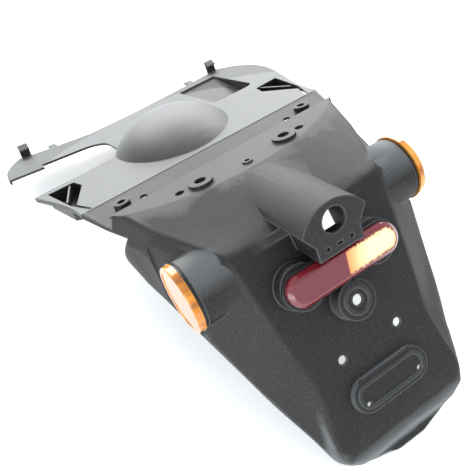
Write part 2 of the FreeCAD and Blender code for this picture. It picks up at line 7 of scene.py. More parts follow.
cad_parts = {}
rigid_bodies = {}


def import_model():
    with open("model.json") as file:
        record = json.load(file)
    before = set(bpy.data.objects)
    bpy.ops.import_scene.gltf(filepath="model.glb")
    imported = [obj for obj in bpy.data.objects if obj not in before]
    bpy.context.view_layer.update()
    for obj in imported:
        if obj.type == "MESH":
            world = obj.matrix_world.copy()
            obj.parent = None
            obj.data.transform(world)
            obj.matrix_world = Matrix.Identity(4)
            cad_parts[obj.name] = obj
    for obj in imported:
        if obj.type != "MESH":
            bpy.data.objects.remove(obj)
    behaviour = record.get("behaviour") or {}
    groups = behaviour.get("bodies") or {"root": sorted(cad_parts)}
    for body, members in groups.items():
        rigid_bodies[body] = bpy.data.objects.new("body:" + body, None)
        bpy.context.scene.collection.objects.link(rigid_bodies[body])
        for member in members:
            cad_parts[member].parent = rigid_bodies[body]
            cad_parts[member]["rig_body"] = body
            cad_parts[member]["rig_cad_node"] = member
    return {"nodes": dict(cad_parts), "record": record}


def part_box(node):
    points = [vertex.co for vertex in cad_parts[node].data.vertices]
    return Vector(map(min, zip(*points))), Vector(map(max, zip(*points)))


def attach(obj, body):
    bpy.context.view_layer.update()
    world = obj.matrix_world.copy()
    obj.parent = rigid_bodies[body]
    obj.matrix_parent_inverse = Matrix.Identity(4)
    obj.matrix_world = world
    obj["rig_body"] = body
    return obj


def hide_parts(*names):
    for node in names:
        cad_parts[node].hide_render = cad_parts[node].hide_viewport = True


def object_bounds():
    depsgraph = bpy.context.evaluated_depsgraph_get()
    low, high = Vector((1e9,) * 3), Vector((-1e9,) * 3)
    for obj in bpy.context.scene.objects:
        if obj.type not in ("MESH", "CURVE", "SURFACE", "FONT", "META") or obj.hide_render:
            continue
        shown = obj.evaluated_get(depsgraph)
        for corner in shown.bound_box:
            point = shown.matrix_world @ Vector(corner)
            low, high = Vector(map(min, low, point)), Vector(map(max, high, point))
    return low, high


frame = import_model()
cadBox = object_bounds()
print("frame loaded:", len(frame["nodes"]), "nodes")

# The moulding's own axes, read from the flange fixings in the record: up is square to the tray,
# forward runs along it, and the zero point is the middle of the tray's plane.
mounts = {m["name"]: m for m in frame["record"]["mounts"]}
flangeLevel = 0.004          # the flange stands this much above the tray, metres
trayUp = Vector(mounts["flange_fixings"]["axis"]).normalized()
trayRight = Vector((1.0, 0.0, 0.0))
trayForward = trayUp.cross(trayRight)
trayZero = Vector(mounts["flange_fixings"]["pos_m"]) - trayUp * flangeLevel
trayTilt = math.atan2(trayUp.y, trayUp.z)
millimetre = 0.001
weldGap = 1e-6               # corners closer than this are one corner, metres


def onPart(x, y, z):          # millimetres on the moulding's axes to metres in the frame
    return trayZero + (trayRight * x + trayForward * y + trayUp * z) * millimetre


def alongPart(x, y, z):
    return (trayRight * x + trayForward * y + trayUp * z).normalized()


plateLean = math.radians(19.0)         # the flap's face leans back by this much from the tray's upright
plateOut = alongPart(0.0, -math.cos(plateLean), math.sin(plateLean))
plateUp = plateOut.cross(trayRight)
stalkMiddle = (-59.0, -48.0)           # axis of the reflector stalks, forward and up, millimetres


def nodeMiddle(node):
    low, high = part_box(node)
    return (Vector(low) + Vector(high)) / 2


def hexColour(code):          # sRGB hex to linear
    channels = [int(code[i:i + 2], 16) / 255 for i in (0, 2, 4)]
    linear = [c / 12.92 if c <= 0.04045 else ((c + 0.055) / 1.055) ** 2.4 for c in channels]
    return (*linear, 1.0)


def perMetre(millimetres):    # pattern scale that repeats every so many millimetres
    return 1000.0 / millimetres


def addNode(tree, kind, links=None, **settings):
    node = tree.nodes.new(kind)
    for name, value in settings.items():
        if hasattr(node, name):
            setattr(node, name, value)
        else:
            node.inputs[name.replace("_", " ")].default_value = value
    for socket, source in (links or {}).items():
        if hasattr(source, "is_output"):
            tree.links.new(source, node.inputs[socket])
        else:
            node.inputs[socket].default_value = source
    return node


def newMaterial(name, **shaderSettings):
    material = bpy.data.materials.new(name)
    material.use_nodes = True
    tree = material.node_tree
    shader = tree.nodes["Principled BSDF"]
    for socket, value in shaderSettings.items():
        shader.inputs[socket.replace("_", " ")].default_value = value
    return material, tree, shader


def setMaterial(piece, material):
    piece.data.materials.clear()
    piece.data.materials.append(material)


# Modelling steps that the reflector pieces share. A piece starts as a flat blank, facing up at the
# origin, is drawn up through its steps, and is then put in its place.
def roundBlank(name, radius, corners):
    bpy.ops.object.select_all(action="DESELECT")
    bpy.ops.mesh.primitive_circle_add(vertices=corners, radius=radius * millimetre, fill_type="NGON")
    piece = bpy.context.object
    piece.name = name
    bpy.ops.object.mode_set(mode="EDIT")
    return piece


def stretchBlank(piece, reach):        # a round blank becomes an oblong one
    bpy.ops.mesh.select_all(action="DESELECT")
    bpy.ops.mesh.select_mode(type="VERT")
    bpy.ops.object.mode_set(mode="OBJECT")
    for vertex in piece.data.vertices:
        vertex.select = vertex.co.x > 0
    bpy.ops.object.mode_set(mode="EDIT")
    bpy.ops.transform.translate(value=(reach * millimetre, 0, 0))
    bpy.ops.mesh.select_all(action="INVERT")
    bpy.ops.transform.translate(value=(-reach * millimetre, 0, 0))
    bpy.ops.mesh.select_all(action="SELECT")
    bpy.ops.mesh.select_mode(type="FACE")


def drawUp(height):
    bpy.ops.mesh.extrude_region_move(TRANSFORM_OT_translate={"value": (0, 0, height * millimetre)})


def stepIn(width, rise):
    bpy.ops.mesh.inset(thickness=width * millimetre, depth=rise * millimetre)


def closePiece(piece, smoothDegrees=35):
    bpy.ops.mesh.select_all(action="SELECT")
    bpy.ops.mesh.remove_doubles(threshold=weldGap)
    bpy.ops.mesh.normals_make_consistent(inside=False)
    bpy.ops.object.mode_set(mode="OBJECT")
    bpy.ops.object.shade_smooth_by_angle(angle=math.radians(smoothDegrees))


def putInPlace(piece, spot, facing):   # the piece's own x stays along the moulding's x where it can
    bpy.ops.object.select_all(action="DESELECT")
    piece.select_set(True)
    bpy.context.view_layer.objects.active = piece
    side = trayRight if abs(facing.dot(trayRight)) < 0.9 else trayForward
    turn = Matrix((side, facing.cross(side), facing)).transposed().to_4x4()
    piece.matrix_world = Matrix.Translation(spot) @ turn
    bpy.ops.object.transform_apply(location=True, rotation=True, scale=True)


def copyPiece(piece, name):
    bpy.ops.object.select_all(action="DESELECT")
    piece.select_set(True)
    bpy.context.view_layer.objects.active = piece
    bpy.ops.object.duplicate(linked=False)
    twin = bpy.context.object
    twin.name = name
    return twin


def standFor(piece, node, material):
    setMaterial(piece, material)
    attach(piece, "root")
    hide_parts(node)


# Moulded polypropylene: black, with a fine spark-eroded grain on the flap that everyone sees and a
# smoother skin on the tray, pale road dust with a painted sheen where it lies level, painted shade in
# its pocket, edges painted a little brighter as wear and as a highlight, and painted light from the
# floor on the flap's rim and foot.
shellLook = {
    "black": "171718", "speckle": "363637", "dustAndSheen": "77797a", "rubbedAndHighlit": "5a5c5d", "floorLightPainted": "868889",
    "grainMm": 1.2,           # true grain is finer, drawn this coarse so that it shows
    "blotchMm": 38.0, "dustSpeckMm": 5.0, "edgeMm": 0.9, "flapEdgeMm": 2.6, "grainDepthMm": 0.16,
    "arcCentreMm": 147.0, "arcRadiusMm": 168.0, "trayRearMm": 78.0, "borderMm": 1.0,
    "roughTray": 0.36, "roughBand": 0.47, "roughFlap": 0.53, "roughPatches": 0.12,
    "dustThinPaintedShade": 0.05, "dustThickPaintedSheen": 0.5, "dustAndSheenFromMm": -3.0, "dustAndSheenFullMm": -1.0,
    "lint": 0.28, "lintRare": 0.78,
    "stalkRadiusMm": 30.0, "stalkBorderMm": 0.5, "stalkDustAndTopLight": 0.6,
    "floorLightFlank": 0.75, "floorLightFoot": 0.8, "floorLightFromMm": -80.0, "floorLightFullMm": -115.0,
    "grainTray": 0.05, "grainFlap": 0.6, "smoothDegrees": 22, "flatDegrees": 0.5,
}


def mouldedPolypropylene():
    look = shellLook
    material, tree, shader = newMaterial("mouldedPolypropylene", IOR=1.49)
    place = addNode(tree, "ShaderNodeTexCoord").outputs["Object"]
    level = addNode(tree, "ShaderNodeMapping", {"Vector": place}, vector_type="TEXTURE",
                    Location=trayZero, Rotation=(-trayTilt, 0.0, 0.0)).outputs["Vector"]
    plan = addNode(tree, "ShaderNodeVectorMath", {0: level, 1: (1.0, 1.0, 0.0)}, operation="MULTIPLY")
    arcCentre = (0.0, look["arcCentreMm"] * millimetre, 0.0)
    reach = addNode(tree, "ShaderNodeVectorMath", {0: plan.outputs["Vector"], 1: arcCentre},
                    operation="DISTANCE")
    flap = addNode(tree, "ShaderNodeMapRange", {"Value": reach.outputs["Value"]},
                   From_Min=(look["arcRadiusMm"] - look["borderMm"]) * millimetre,
                   From_Max=(look["arcRadiusMm"] + look["borderMm"]) * millimetre).outputs["Result"]

    # fine grain, and broad uneven patches
    grain = addNode(tree, "ShaderNodeTexNoise", {"Vector": place}, Scale=perMetre(look["grainMm"]),
                    Detail=2.0, Roughness=0.6).outputs["Fac"]
    blotch = addNode(tree, "ShaderNodeTexNoise", {"Vector": place}, Scale=perMetre(look["blotchMm"]),
                     Detail=4.0, Roughness=0.6).outputs["Fac"]
    speck = addNode(tree, "ShaderNodeTexVoronoi", {"Vector": place}, Scale=perMetre(look["dustSpeckMm"]))

    # edges, where the rounded normal leaves the flat one, are painted brighter as wear and as a highlight
    geometry = addNode(tree, "ShaderNodeNewGeometry")
    softness = addNode(tree, "ShaderNodeMapRange", {"Value": flap}, To_Min=look["edgeMm"] * millimetre,
                       To_Max=look["flapEdgeMm"] * millimetre).outputs["Result"]
    rounded = addNode(tree, "ShaderNodeBevel", {"Radius": softness}, samples=6).outputs["Normal"]
    straight = addNode(tree, "ShaderNodeVectorMath", {0: rounded, 1: geometry.outputs["Normal"]},
                       operation="DOT_PRODUCT")
    edge = addNode(tree, "ShaderNodeMapRange", {"Value": straight.outputs["Value"]},
                   From_Min=0.995, From_Max=0.86).outputs["Result"]

    # dust, with a painted sheen, on what lies level: thick on the open tray, and thin in its pocket and
    # behind it, which paints shade there
    lift = addNode(tree, "ShaderNodeVectorMath", {0: geometry.outputs["Normal"], 1: trayUp},
                   operation="DOT_PRODUCT")
    levelDustAndSheen = addNode(tree, "ShaderNodeMapRange", {"Value": lift.outputs["Value"]},
                      From_Min=0.6, From_Max=1.0).outputs["Result"]
    spot = addNode(tree, "ShaderNodeSeparateXYZ", {"Vector": level})
    onTray = addNode(tree, "ShaderNodeMapRange", {"Value": spot.outputs["Y"]},
                     From_Min=(look["trayRearMm"] - look["borderMm"]) * millimetre,
                     From_Max=(look["trayRearMm"] + look["borderMm"]) * millimetre).outputs["Result"]
    above = addNode(tree, "ShaderNodeMapRange", {"Value": spot.outputs["Z"]},
                    From_Min=look["dustAndSheenFromMm"] * millimetre,
                    From_Max=look["dustAndSheenFullMm"] * millimetre).outputs["Result"]
    bare = addNode(tree, "ShaderNodeMath", {0: onTray, 1: above}, operation="MULTIPLY").outputs["Value"]
    thick = addNode(tree, "ShaderNodeMapRange", {"Value": bare}, To_Min=look["dustThinPaintedShade"],
                    To_Max=look["dustThickPaintedSheen"]).outputs["Result"]
    levelDustAndSheen = addNode(tree, "ShaderNodeMath", {0: levelDustAndSheen, 1: thick}, operation="MULTIPLY").outputs["Value"]

    # dust, with painted light on top, on the upper side of the stalks
    stalkAxis = (0.0, stalkMiddle[0] * millimetre, stalkMiddle[1] * millimetre)
    acrossX = addNode(tree, "ShaderNodeVectorMath", {0: level, 1: (0.0, 1.0, 1.0)}, operation="MULTIPLY")
    fromStalk = addNode(tree, "ShaderNodeVectorMath", {0: acrossX.outputs["Vector"], 1: stalkAxis},
                        operation="DISTANCE")
    onStalk = addNode(tree, "ShaderNodeMapRange", {"Value": fromStalk.outputs["Value"]},
                      From_Min=(look["stalkRadiusMm"] + look["stalkBorderMm"]) * millimetre,
                      From_Max=(look["stalkRadiusMm"] - look["stalkBorderMm"]) * millimetre,
                      To_Max=look["stalkDustAndTopLight"]).outputs["Result"]
    upperSide = addNode(tree, "ShaderNodeMapRange", {"Value": lift.outputs["Value"]},
                        From_Min=0.2, From_Max=0.6).outputs["Result"]
    onStalk = addNode(tree, "ShaderNodeMath", {0: onStalk, 1: upperSide}, operation="MULTIPLY")
    dustAndSheenLaid = addNode(tree, "ShaderNodeMath", {0: levelDustAndSheen, 1: onStalk.outputs["Value"]}, operation="MAXIMUM")

    # uneven in patches, with a few bits of lint
    patchy = addNode(tree, "ShaderNodeMapRange", {"Value": blotch}, From_Min=0.25, From_Max=0.8,
                     To_Min=0.7, To_Max=1.15).outputs["Result"]
    dustAndSheenPatchy = addNode(tree, "ShaderNodeMath", {0: dustAndSheenLaid.outputs["Value"], 1: patchy},
                    operation="MULTIPLY").outputs["Value"]
    lint = addNode(tree, "ShaderNodeMapRange", {"Value": speck.outputs["Distance"]},
                   From_Min=0.11, From_Max=0.05, To_Max=look["lint"]).outputs["Result"]
    rare = addNode(tree, "ShaderNodeMath", {0: speck.outputs["Color"], 1: look["lintRare"]},
                   operation="GREATER_THAN")
    lint = addNode(tree, "ShaderNodeMath", {0: lint, 1: rare.outputs["Value"]},
                   operation="MULTIPLY").outputs["Value"]

    # the flap's rim and foot, which turn away from its face, are painted paler with light from the floor
    facing = addNode(tree, "ShaderNodeVectorMath", {0: geometry.outputs["Normal"], 1: plateOut},
                     operation="DOT_PRODUCT").outputs["Value"]
    turned = addNode(tree, "ShaderNodeMapRange", {"Value": facing}, From_Min=0.72, From_Max=0.3,
                     To_Max=look["floorLightFlank"]).outputs["Result"]
    outside = addNode(tree, "ShaderNodeMapRange", {"Value": facing}, From_Min=-0.1,
                      From_Max=0.05).outputs["Result"]
    downward = addNode(tree, "ShaderNodeVectorMath", {0: geometry.outputs["Normal"], 1: plateUp},
                       operation="DOT_PRODUCT").outputs["Value"]
    under = addNode(tree, "ShaderNodeMapRange", {"Value": downward}, From_Min=-0.15, From_Max=-0.55,
                    To_Max=look["floorLightFoot"]).outputs["Result"]
    low = addNode(tree, "ShaderNodeMapRange", {"Value": spot.outputs["Z"]},
                  From_Min=look["floorLightFromMm"] * millimetre,
                  From_Max=look["floorLightFullMm"] * millimetre).outputs["Result"]
    floorLightPainted = turned
    for other, step in ((outside, "MULTIPLY"), (under, "MAXIMUM"), (low, "MULTIPLY")):
        floorLightPainted = addNode(tree, "ShaderNodeMath", {0: floorLightPainted, 1: other}, operation=step).outputs["Value"]

    sparkle = addNode(tree, "ShaderNodeMapRange", {"Value": grain}, From_Min=0.5,
                      From_Max=0.72).outputs["Result"]
    colour = addNode(tree, "ShaderNodeMix", {"Factor": sparkle}, data_type="RGBA",
                     A=hexColour(look["black"]), B=hexColour(look["speckle"]))
    for amount, shade in ((dustAndSheenPatchy, "dustAndSheen"), (floorLightPainted, "floorLightPainted"), (edge, "rubbedAndHighlit"), (lint, "dustAndSheen")):
        colour = addNode(tree, "ShaderNodeMix", {"Factor": amount, "A": colour.outputs[2]},
                         data_type="RGBA", B=hexColour(look[shade]))
    tree.links.new(colour.outputs[2], shader.inputs["Base Color"])

    skin = addNode(tree, "ShaderNodeMapRange", {"Value": onTray}, To_Min=look["roughBand"],
                   To_Max=look["roughTray"]).outputs["Result"]
    skin = addNode(tree, "ShaderNodeMix", {"Factor": flap, "A": skin},
                   B=look["roughFlap"]).outputs["Result"]
    rough = addNode(tree, "ShaderNodeMath", {0: blotch, 1: look["roughPatches"], 2: skin},
                    operation="MULTIPLY_ADD")
    tree.links.new(rough.outputs["Value"], shader.inputs["Roughness"])
    depth = addNode(tree, "ShaderNodeMapRange", {"Value": flap}, To_Min=look["grainTray"],
                    To_Max=look["grainFlap"]).outputs["Result"]
    bump = addNode(tree, "ShaderNodeBump", {"Height": grain, "Strength": depth, "Normal": rounded},
                   Distance=look["grainDepthMm"] * millimetre)
    tree.links.new(bump.outputs["Normal"], shader.inputs["Normal"])
    return material


# The flap's flanks and foot are drawn out in broad soft curves. Their wall is cut finer, then their
# shallow creases and the rim are relaxed inwards and outwards in turn, which rounds them without
# shrinking the form. The plate between them, the hood and the stalks are left as they are.
softFlap = {"rearOfMm": -38.0, "flankMm": 62.0, "flankBelowMm": -14.0, "flankBehindMm": 60.0,
            "stripMm": 64.5, "stripLean": 0.1, "bottomMm": -205.0, "stalkMm": 35.0,
            "weldMm": 1.6, "longestMm": 6.0, "passes": 5,
            "keepDegrees": 50.0, "rounds": 240, "relax": 0.5, "restore": -0.51}


def partPlaces(mesh):                  # corner places on the moulding's axes, millimetres
    flat = np.empty(len(mesh.vertices) * 3)
    mesh.vertices.foreach_get("co", flat)
    axes = np.array((trayRight, trayForward, trayUp))
    return (flat.reshape(-1, 3) - np.array(trayZero)) @ axes.T / millimetre


def movePlaces(mesh, places):
    axes = np.array((trayRight, trayForward, trayUp))
    spots = np.clip(places * millimetre @ axes + np.array(trayZero), cadBox[0], cadBox[1])
    mesh.vertices.foreach_set("co", spots.ravel())
    mesh.update()


def inStrips(places, margin):          # true where a corner is in the flanks or the foot
    x, y, z = np.abs(places[:, 0]), places[:, 1], places[:, 2]
    flank = (x > softFlap["flankMm"]) & (z < softFlap["flankBelowMm"]) & (y < softFlap["flankBehindMm"])
    outer = x > softFlap["stripMm"] + softFlap["stripLean"] * z + margin
    foot = z < softFlap["bottomMm"] - margin
    stalkY, stalkZ = stalkMiddle
    stalk = np.hypot(y - stalkY, z - stalkZ) < softFlap["stalkMm"]
    return ((y < softFlap["rearOfMm"]) | flank) & (outer | foot) & ~stalk


def choose(mesh, kind, chosen):
    for part in (mesh.polygons, mesh.edges, mesh.vertices):
        part.foreach_set("select", np.zeros(len(part), bool))
    getattr(mesh, kind).foreach_set("select", chosen)


def edgeEnds(mesh):
    ends = np.empty(len(mesh.edges) * 2, int)
    mesh.edges.foreach_get("vertices", ends)
    return ends.reshape(-1, 2)


def stripFaces(mesh):
    inside = inStrips(partPlaces(mesh), -0.05)
    return np.array([all(inside[v] for v in face.vertices) for face in mesh.polygons])


def cutStripsFiner(mesh):
    lean = softFlap["stripLean"]
    for side in (1, -1):
        bpy.ops.mesh.select_mode(type="FACE")
        bpy.ops.object.mode_set(mode="OBJECT")
        places = partPlaces(mesh)
        choose(mesh, "polygons", np.array([all(places[v, 1] < softFlap["rearOfMm"] for v in face.vertices)
                                           for face in mesh.polygons]))
        bpy.ops.object.mode_set(mode="EDIT")
        bpy.ops.mesh.bisect(plane_co=onPart(side * softFlap["stripMm"], 0.0, 0.0),
                            plane_no=alongPart(side, 0.0, -lean))
    bpy.ops.mesh.select_all(action="SELECT")
    bpy.ops.mesh.bisect(plane_co=onPart(0.0, 0.0, softFlap["bottomMm"]), plane_no=trayUp)
    bpy.ops.object.mode_set(mode="OBJECT")
    choose(mesh, "polygons", stripFaces(mesh))
    bpy.ops.object.mode_set(mode="EDIT")
    bpy.ops.mesh.quads_convert_to_tris(quad_method="BEAUTY", ngon_method="BEAUTY")
    bpy.ops.mesh.select_mode(type="VERT")
    bpy.ops.object.mode_set(mode="OBJECT")
    choose(mesh, "vertices", inStrips(partPlaces(mesh), 0.3))
    bpy.ops.object.mode_set(mode="EDIT")
    bpy.ops.mesh.remove_doubles(threshold=softFlap["weldMm"] * millimetre)
    for turn in range(softFlap["passes"]):
        bpy.ops.mesh.select_mode(type="EDGE")
        bpy.ops.object.mode_set(mode="OBJECT")
        places = partPlaces(mesh)
        ends = edgeEnds(mesh)
        long = np.linalg.norm(places[ends[:, 0]] - places[ends[:, 1]], axis=1) > softFlap["longestMm"]
        strip = inStrips(places, -0.05)
        choose(mesh, "edges", long & strip[ends[:, 0]] & strip[ends[:, 1]])
        bpy.ops.object.mode_set(mode="EDIT")
        bpy.ops.mesh.subdivide(number_cuts=1)
        bpy.ops.mesh.select_mode(type="FACE")
        bpy.ops.object.mode_set(mode="OBJECT")
        choose(mesh, "polygons", stripFaces(mesh))
        bpy.ops.object.mode_set(mode="EDIT")
        bpy.ops.mesh.quads_convert_to_tris(quad_method="BEAUTY", ngon_method="BEAUTY")
    bpy.ops.object.mode_set(mode="OBJECT")


def sharpEdges(mesh, degrees):
    facesOf = {}
    for face in mesh.polygons:
        for key in face.edge_keys:
            facesOf.setdefault(key, []).append(face.normal)
    limit = math.cos(math.radians(degrees))
    pairs = [facesOf[edge.key] for edge in mesh.edges]
    return np.array([len(pair) != 2 or pair[0].dot(pair[1]) < limit for pair in pairs])


def relaxStrips(mesh):
    places = partPlaces(mesh)
    start = places.copy()
    ends = edgeEnds(mesh)
    sharp = sharpEdges(mesh, softFlap["keepDegrees"])
    onSharp = np.bincount(ends[sharp].ravel(), minlength=len(places))
    strips = inStrips(places, 0.3)
    # a corner on a sharp line slides along that line, the others follow all their neighbours
    groups = ((ends[~sharp], strips & (onSharp <= 1)), (ends[sharp], strips & (onSharp >= 2)))
    for step in range(softFlap["rounds"] * 2):
        pull = np.zeros_like(places)
        number = np.zeros(len(places))
        for pairs, members in groups:
            for near, far in ((0, 1), (1, 0)):
                inside = members[pairs[:, near]]
                np.add.at(pull, pairs[inside, near], places[pairs[inside, far]])
                np.add.at(number, pairs[inside, near], 1)
        moving = number > 0
        share = softFlap["restore"] if step % 2 else softFlap["relax"]
        places[moving] += share * (pull[moving] / number[moving, None] - places[moving])
    movePlaces(mesh, places)
    most = float(np.abs(places - start).max())
    print("flap relaxed:", int(moving.sum()), "corners, most", round(most, 2), "mm")


# The openings at the tray's rear corners are blind pockets
cornerPocket = {"outline": ((147.0, 174.0), (118.0, 172.0), (114.0, 152.0), (133.0, 107.0), (138.0, 112.0)),
                "floorMm": -15.0, "mouthMm": -2.45, "wallMm": 1.8}


def cornerPockets(shell):
    size = cornerPocket
    for side in (1, -1):
        bpy.ops.object.select_all(action="DESELECT")
        bpy.ops.mesh.primitive_circle_add(vertices=len(size["outline"]), fill_type="NGON")
        cup = bpy.context.object
        for corner, (x, y) in zip(cup.data.vertices, size["outline"]):
            corner.co = onPart(side * x, y, size["floorMm"])
        bpy.ops.object.mode_set(mode="EDIT")
        bpy.ops.mesh.select_all(action="SELECT")
        rise = trayUp * (size["mouthMm"] - size["floorMm"]) * millimetre
        bpy.ops.mesh.extrude_region_move(TRANSFORM_OT_translate={"value": rise})
        bpy.ops.mesh.delete(type="ONLY_FACE")          # the mouth stays open
        bpy.ops.mesh.select_all(action="SELECT")
        bpy.ops.mesh.normals_make_consistent(inside=True)
        bpy.ops.object.mode_set(mode="OBJECT")
        wall = cup.modifiers.new("pocketWall", "SOLIDIFY")
        wall.thickness = size["wallMm"] * millimetre
        wall.offset = -1.0
        bpy.ops.object.modifier_apply(modifier=wall.name)
        shell.select_set(True)
        bpy.context.view_layer.objects.active = shell
        bpy.ops.object.join()


def mudguardShell():
    source = frame["nodes"]["mudguard_body"]
    shell = copyPiece(source, "mudguardShell")
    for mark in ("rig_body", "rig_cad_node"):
        del shell[mark]
    bpy.ops.object.parent_clear(type="CLEAR_KEEP_TRANSFORM")
    bpy.ops.object.transform_apply(location=True, rotation=True, scale=True)
    bpy.ops.object.mode_set(mode="EDIT")
    bpy.ops.mesh.select_all(action="SELECT")
    bpy.ops.mesh.remove_doubles(threshold=weldGap)
    bpy.ops.mesh.dissolve_limited(angle_limit=math.radians(shellLook["flatDegrees"]))
    cutStripsFiner(shell.data)
    relaxStrips(shell.data)
    cornerPockets(shell)
    bpy.ops.object.shade_smooth_by_angle(angle=math.radians(shellLook["smoothDegrees"]))
    weigh = shell.modifiers.new("evenShading", "WEIGHTED_NORMAL")
    weigh.keep_sharp = True
    bpy.ops.object.modifier_apply(modifier=weigh.name)
    standFor(shell, "mudguard_body", mouldedPolypropylene())
    print("shell:", len(shell.data.polygons), "faces")


mudguardShell()

# Round side reflectors: a lens moulded in clear amber acrylic over small prisms, with a seating lip,
# a straight barrel and a raised rim round the field, on a black carrier disc.
sideReflector = {
    "radius": 30.0, "corners": 96, "lip": 1.2, "lipStep": 0.5, "barrel": 4.0, "rimEdge": (0.45, 0.6),
    "rimTop": (0.55, 0.4), "rimWide": 2.4, "fieldStep": (0.5, -0.7),
    "fieldCrown": ((9.0, 0.12), (9.0, 0.05)),
    "amber": "f0950f", "amberDeep": "7a3f04", "amberPale": "ffd070",
    "prismMm": 2.4, "prismRelief": 0.22, "reliefMm": 0.6, "streakMm": 16.0, "streakLong": 0.12,
    "carrierRadius": 28.0, "carrierThick": 3.0, "carrierEdge": 0.35,
}


def amberAcrylic():
    # clear amber acrylic, injection moulded: glass-smooth outside, small bright prisms seen through it
    look = sideReflector
    material, tree, shader = newMaterial("amberAcrylic", IOR=1.49, Roughness=0.12, Coat_Weight=1.0,
                                         Coat_Roughness=0.03, Coat_IOR=1.49)
    place = addNode(tree, "ShaderNodeTexCoord").outputs["Object"]
    turned = addNode(tree, "ShaderNodeMapping", {"Vector": place},
                     Rotation=(math.radians(45) + trayTilt, 0.0, 0.0)).outputs["Vector"]
    prism = addNode(tree, "ShaderNodeTexVoronoi", {"Vector": turned}, distance="CHEBYCHEV",
                    Scale=perMetre(look["prismMm"]), Randomness=0.0)
    streak = addNode(tree, "ShaderNodeMapping", {"Vector": place}, Scale=(look["streakLong"], 1.0, 1.0))
    glint = addNode(tree, "ShaderNodeTexNoise", {"Vector": streak.outputs["Vector"]},
                    Scale=perMetre(look["streakMm"]), Detail=3.0, Roughness=0.6).outputs["Fac"]

    # prisms show through the field that looks outwards; painted reflections as dark streaks on the barrel,
    # and painted glints over the lens
    geometry = addNode(tree, "ShaderNodeNewGeometry")
    facing = addNode(tree, "ShaderNodeSeparateXYZ", {"Vector": geometry.outputs["Normal"]})
    sideways = addNode(tree, "ShaderNodeMath", {0: facing.outputs["X"]}, operation="ABSOLUTE")
    field = addNode(tree, "ShaderNodeMapRange", {"Value": sideways.outputs["Value"]}, From_Min=0.85,
                    From_Max=0.95).outputs["Result"]
    cells = addNode(tree, "ShaderNodeMapRange", {"Value": prism.outputs["Distance"]}, From_Min=0.15,
                    From_Max=0.5, To_Max=0.5).outputs["Result"]
    paintedStreaks = addNode(tree, "ShaderNodeMapRange", {"Value": glint}, From_Min=0.54, From_Max=0.34,
                    To_Max=0.75).outputs["Result"]
    deep = addNode(tree, "ShaderNodeMix", {"Factor": field, "A": paintedStreaks, "B": cells}).outputs["Result"]
    colour = addNode(tree, "ShaderNodeMix", {"Factor": deep}, data_type="RGBA",
                     A=hexColour(look["amber"]), B=hexColour(look["amberDeep"]))
    paintedGlint = addNode(tree, "ShaderNodeMapRange", {"Value": glint}, From_Min=0.52, From_Max=0.75,
                   To_Max=0.6).outputs["Result"]
    colour = addNode(tree, "ShaderNodeMix", {"Factor": paintedGlint, "A": colour.outputs[2]}, data_type="RGBA",
                     B=hexColour(look["amberPale"]))
    tree.links.new(colour.outputs[2], shader.inputs["Base Color"])
    relief = addNode(tree, "ShaderNodeMath", {0: field, 1: look["prismRelief"]}, operation="MULTIPLY")
    bump = addNode(tree, "ShaderNodeBump", {"Height": prism.outputs["Distance"],
                                            "Strength": relief.outputs["Value"]},
                   invert=True, Distance=look["reliefMm"] * millimetre)
    tree.links.new(bump.outputs["Normal"], shader.inputs["Normal"])
    return material


def blackAbs():
    # black ABS, moulded with a fine matt texture and slightly greyed by handling
    material, tree, shader = newMaterial("blackAbs", IOR=1.53)
    place = addNode(tree, "ShaderNodeTexCoord").outputs["Object"]
    cloud = addNode(tree, "ShaderNodeTexNoise", {"Vector": place}, Scale=perMetre(9.0), Detail=4.0,
                    Roughness=0.6).outputs["Fac"]
    colour = addNode(tree, "ShaderNodeMix", {"Factor": cloud}, data_type="RGBA",
                     A=hexColour("0d0d0e"), B=hexColour("202022"))
    tree.links.new(colour.outputs[2], shader.inputs["Base Color"])
    rough = addNode(tree, "ShaderNodeMapRange", {"Value": cloud}, To_Min=0.38, To_Max=0.55)
    tree.links.new(rough.outputs["Result"], shader.inputs["Roughness"])
    grit = addNode(tree, "ShaderNodeTexNoise", {"Vector": place}, Scale=perMetre(0.8)).outputs["Fac"]
    bump = addNode(tree, "ShaderNodeBump", {"Height": grit}, Strength=0.25, Distance=0.1 * millimetre)
    tree.links.new(bump.outputs["Normal"], shader.inputs["Normal"])
    return material


def sideLens(name):
    size = sideReflector
    lens = roundBlank(name, size["radius"], size["corners"])
    drawUp(size["lip"])
    stepIn(size["lipStep"], 0.0)
    drawUp(size["barrel"])
    stepIn(*size["rimEdge"])
    stepIn(*size["rimTop"])
    stepIn(size["rimWide"], 0.0)
    stepIn(*size["fieldStep"])
    for ring in size["fieldCrown"]:
        stepIn(*ring)
    closePiece(lens)
    return lens


def sideCarrier(name):
    size = sideReflector
    carrier = roundBlank(name, size["carrierRadius"], size["corners"])
    drawUp(size["carrierThick"] - size["carrierEdge"])
    stepIn(size["carrierEdge"], size["carrierEdge"])
    closePiece(carrier)
    return carrier


blackPlastic = blackAbs()
amber = amberAcrylic()
lensMaster = sideLens("sideLensRight")
carrierMaster = sideCarrier("sideCarrierRight")
sidePieces = (
    (carrierMaster, copyPiece(carrierMaster, "sideCarrierLeft"), "side_base", "reflector_base",
     blackPlastic),
    (lensMaster, copyPiece(lensMaster, "sideLensLeft"), "side_lens", "amber_lens", amber),
)
for rightPiece, leftPiece, node, slotName, material in sidePieces:
    for piece, hand, outward in ((rightPiece, "_right", 1), (leftPiece, "_left", -1)):
        seat = nodeMiddle(node + hand)
        low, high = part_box(node + hand)
        seat.x = low[0] if outward > 0 else high[0]
        putInPlace(piece, seat, trayRight * outward)
        standFor(piece, node + hand, material)
print("side reflectors ready")
